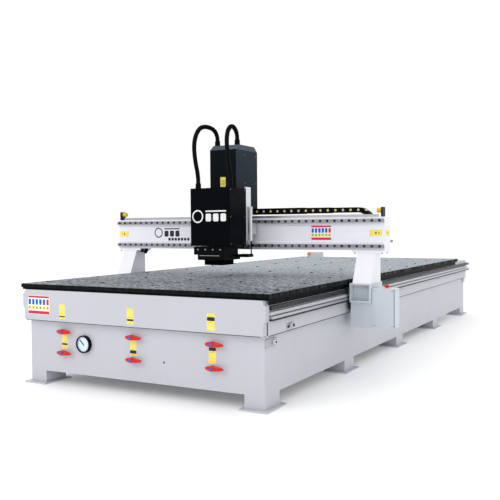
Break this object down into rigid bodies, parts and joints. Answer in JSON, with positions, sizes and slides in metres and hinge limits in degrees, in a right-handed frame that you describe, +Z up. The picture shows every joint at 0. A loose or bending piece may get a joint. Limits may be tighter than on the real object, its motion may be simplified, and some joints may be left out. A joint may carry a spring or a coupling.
{
  "type": "cnc router",
  "caption": "Long-bed gantry CNC router with a vacuum table, side-driven gantry, covered vertical head and cable chain.",
  "frame": {"origin": "on the floor under the middle of the machine's bounding box", "axes": "+X to the operator's right along the gantry beam, +Y along the bed away from the operator, +Z up"},
  "size_m": [2.98, 6.1, 2.1365],
  "materials": {
    "frame_paint": "satin",
    "panel_paint": "satin",
    "drive_paint": "satin",
    "white_paint": "satin",
    "dark_cover": "gloss",
    "slate_cover": "satin",
    "phenolic_board": "matt",
    "deck_board": "matt",
    "rail_steel": "ground",
    "drive_steel": "ground",
    "bare_aluminium": "satin",
    "motor_black": "satin",
    "black_plastic": "matt",
    "black_rubber": "matt",
    "orange_rubber": "satin",
    "yellow_plastic": "satin",
    "red_plastic": "gloss",
    "brass_body": "satin",
    "pipe_grey": "satin"
  },
  "bodies": {
    "bed": {"feet": "frame_paint", "base_frame": "frame_paint", "body_panels": "panel_paint", "front_panel": "panel_paint", "upper_frame": "frame_paint", "front_cover": "panel_paint", "table_deck": "deck_board", "table_board": "phenolic_board", "y_rails": "rail_steel", "y_racks": "rail_steel", "end_stop": "orange_rubber", "vacuum_manifold": "pipe_grey", "vacuum_valves": "brass_body", "gauge_case": "black_plastic"},
    "valve_handle_left_upper": {"valve_handle_left_upper": "red_plastic"},
    "valve_handle_left_lower": {"valve_handle_left_lower": "red_plastic"},
    "valve_handle_middle_upper": {"valve_handle_middle_upper": "red_plastic"},
    "valve_handle_middle_lower": {"valve_handle_middle_lower": "red_plastic"},
    "valve_handle_right_upper": {"valve_handle_right_upper": "red_plastic"},
    "valve_handle_right_lower": {"valve_handle_right_lower": "red_plastic"},
    "gauge_needle": {"gauge_needle": "black_plastic"},
    "gantry": {"gantry_beam": "white_paint", "x_rails": "rail_steel", "x_rack": "rail_steel", "leg_left": "white_paint", "leg_right": "white_paint", "y_carriages": "drive_paint", "y_blocks": "drive_steel", "y_motors": "motor_black", "motor_covers": "drive_paint", "bumper_plates": "motor_black", "bumpers": "yellow_plastic", "chain_tray": "bare_aluminium", "chain_fixed_run": "black_plastic"},
    "y_pinions": {"y_pinions": "drive_steel"},
    "estop_button": {"estop_button": "red_plastic"},
    "x_carriage": {"x_plate": "bare_aluminium", "x_blocks": "drive_steel", "tall_cover": "slate_cover", "z_motor": "motor_black", "z_rails": "rail_steel", "x_motor": "motor_black", "glands_upper": "black_plastic", "chain_near": "black_plastic", "hood_cylinders": "bare_aluminium", "hose_left": "black_rubber", "hose_right": "black_rubber"},
    "x_pinion": {"x_pinion": "drive_steel"},
    "z_screw": {"z_screw": "drive_steel"},
    "chain_middle": {"chain_middle": "black_plastic"},
    "chain_bend": {"chain_bend": "black_plastic"},
    "dust_hood": {"dust_hood": "black_plastic", "dust_brush": "black_rubber"},
    "z_slide": {"z_plate": "bare_aluminium", "z_blocks": "drive_steel", "z_nut": "drive_steel", "spindle_body": "motor_black", "head_cover": "dark_cover", "glands_lower": "black_plastic"},
    "spindle_shaft": {"spindle_shaft": "drive_steel"}
  },
  "joints": [
    {"name": "valve_left_upper_turn", "type": "hinge", "parent": "bed", "child": "valve_handle_left_upper", "pos_m": [-0.696, -3, 0.426], "axis": [0, 1, 0], "range_deg": [0, 90]},
    {"name": "valve_left_lower_turn", "type": "hinge", "parent": "bed", "child": "valve_handle_left_lower", "pos_m": [-0.696, -3, 0.262], "axis": [0, 1, 0], "range_deg": [0, 90]},
    {"name": "valve_middle_upper_turn", "type": "hinge", "parent": "bed", "child": "valve_handle_middle_upper", "pos_m": [-0.027, -3, 0.426], "axis": [0, 1, 0], "range_deg": [0, 90]},
    {"name": "valve_middle_lower_turn", "type": "hinge", "parent": "bed", "child": "valve_handle_middle_lower", "pos_m": [-0.027, -3, 0.262], "axis": [0, 1, 0], "range_deg": [0, 90]},
    {"name": "valve_right_upper_turn", "type": "hinge", "parent": "bed", "child": "valve_handle_right_upper", "pos_m": [0.66, -3, 0.426], "axis": [0, 1, 0], "range_deg": [0, 90]},
    {"name": "valve_right_lower_turn", "type": "hinge", "parent": "bed", "child": "valve_handle_right_lower", "pos_m": [0.66, -3, 0.262], "axis": [0, 1, 0], "range_deg": [0, 90]},
    {"name": "gauge_needle_turn", "type": "hinge", "parent": "bed", "child": "gauge_needle", "pos_m": [-0.492, -3, 0.342], "axis": [0, 1, 0], "range_deg": [-90, 180]},
    {"name": "gantry_travel", "type": "slide", "parent": "bed", "child": "gantry", "axis": [0, 1, 0], "range_m": [-1.3, 4.2]},
    {"name": "y_pinions_turn", "type": "hinge", "parent": "gantry", "child": "y_pinions", "pos_m": [0, -1.535, 0.5676], "axis": [1, 0, 0], "range_deg": [-2075, 6700]},
    {"name": "estop_press", "type": "slide", "parent": "gantry", "child": "estop_button", "axis": [0, 0, 1], "range_m": [-0.004, 0], "stiffness_N_per_m": 2500},
    {"name": "cross_travel", "type": "slide", "parent": "gantry", "child": "x_carriage", "axis": [1, 0, 0], "range_m": [-0.98, 0.98]},
    {"name": "x_pinion_turn", "type": "hinge", "parent": "x_carriage", "child": "x_pinion", "pos_m": [-0.06, -1.4375, 1.309], "axis": [0, 0, 1], "range_deg": [-3125, 3125]},
    {"name": "chain_middle_travel", "type": "slide", "parent": "gantry", "child": "chain_middle", "axis": [1, 0, 0], "range_m": [-0.74, 0.74]},
    {"name": "chain_bend_travel", "type": "slide", "parent": "gantry", "child": "chain_bend", "axis": [1, 0, 0], "range_m": [-0.495, 0.495]},
    {"name": "vertical_travel", "type": "slide", "parent": "x_carriage", "child": "z_slide", "axis": [0, 0, 1], "range_m": [-0.17, 0]},
    {"name": "z_screw_turn", "type": "hinge", "parent": "x_carriage", "child": "z_screw", "pos_m": [-0.0175, -1.584, 1.3], "axis": [0, 0, 1], "range_deg": [-6130, 10]},
    {"name": "hood_travel", "type": "slide", "parent": "x_carriage", "child": "dust_hood", "axis": [0, 0, 1], "range_m": [-0.101, 0]},
    {"name": "spindle_turn", "type": "hinge", "parent": "z_slide", "child": "spindle_shaft", "pos_m": [-0.0175, -1.81, 1.01], "axis": [0, 0, 1], "continuous": true}
  ],
  "couplings": [
    {"joint": "y_pinions_turn", "follows": "gantry_travel", "rad_per_m": 27.778},
    {"joint": "x_pinion_turn", "follows": "cross_travel", "rad_per_m": -55.556},
    {"joint": "chain_middle_travel", "follows": "cross_travel", "ratio": 0.75},
    {"joint": "chain_bend_travel", "follows": "cross_travel", "ratio": 0.5},
    {"joint": "z_screw_turn", "follows": "vertical_travel", "rad_per_m": 628.32},
    {"joint": "hood_travel", "follows": "vertical_travel", "ratio": 0.588}
  ]
}
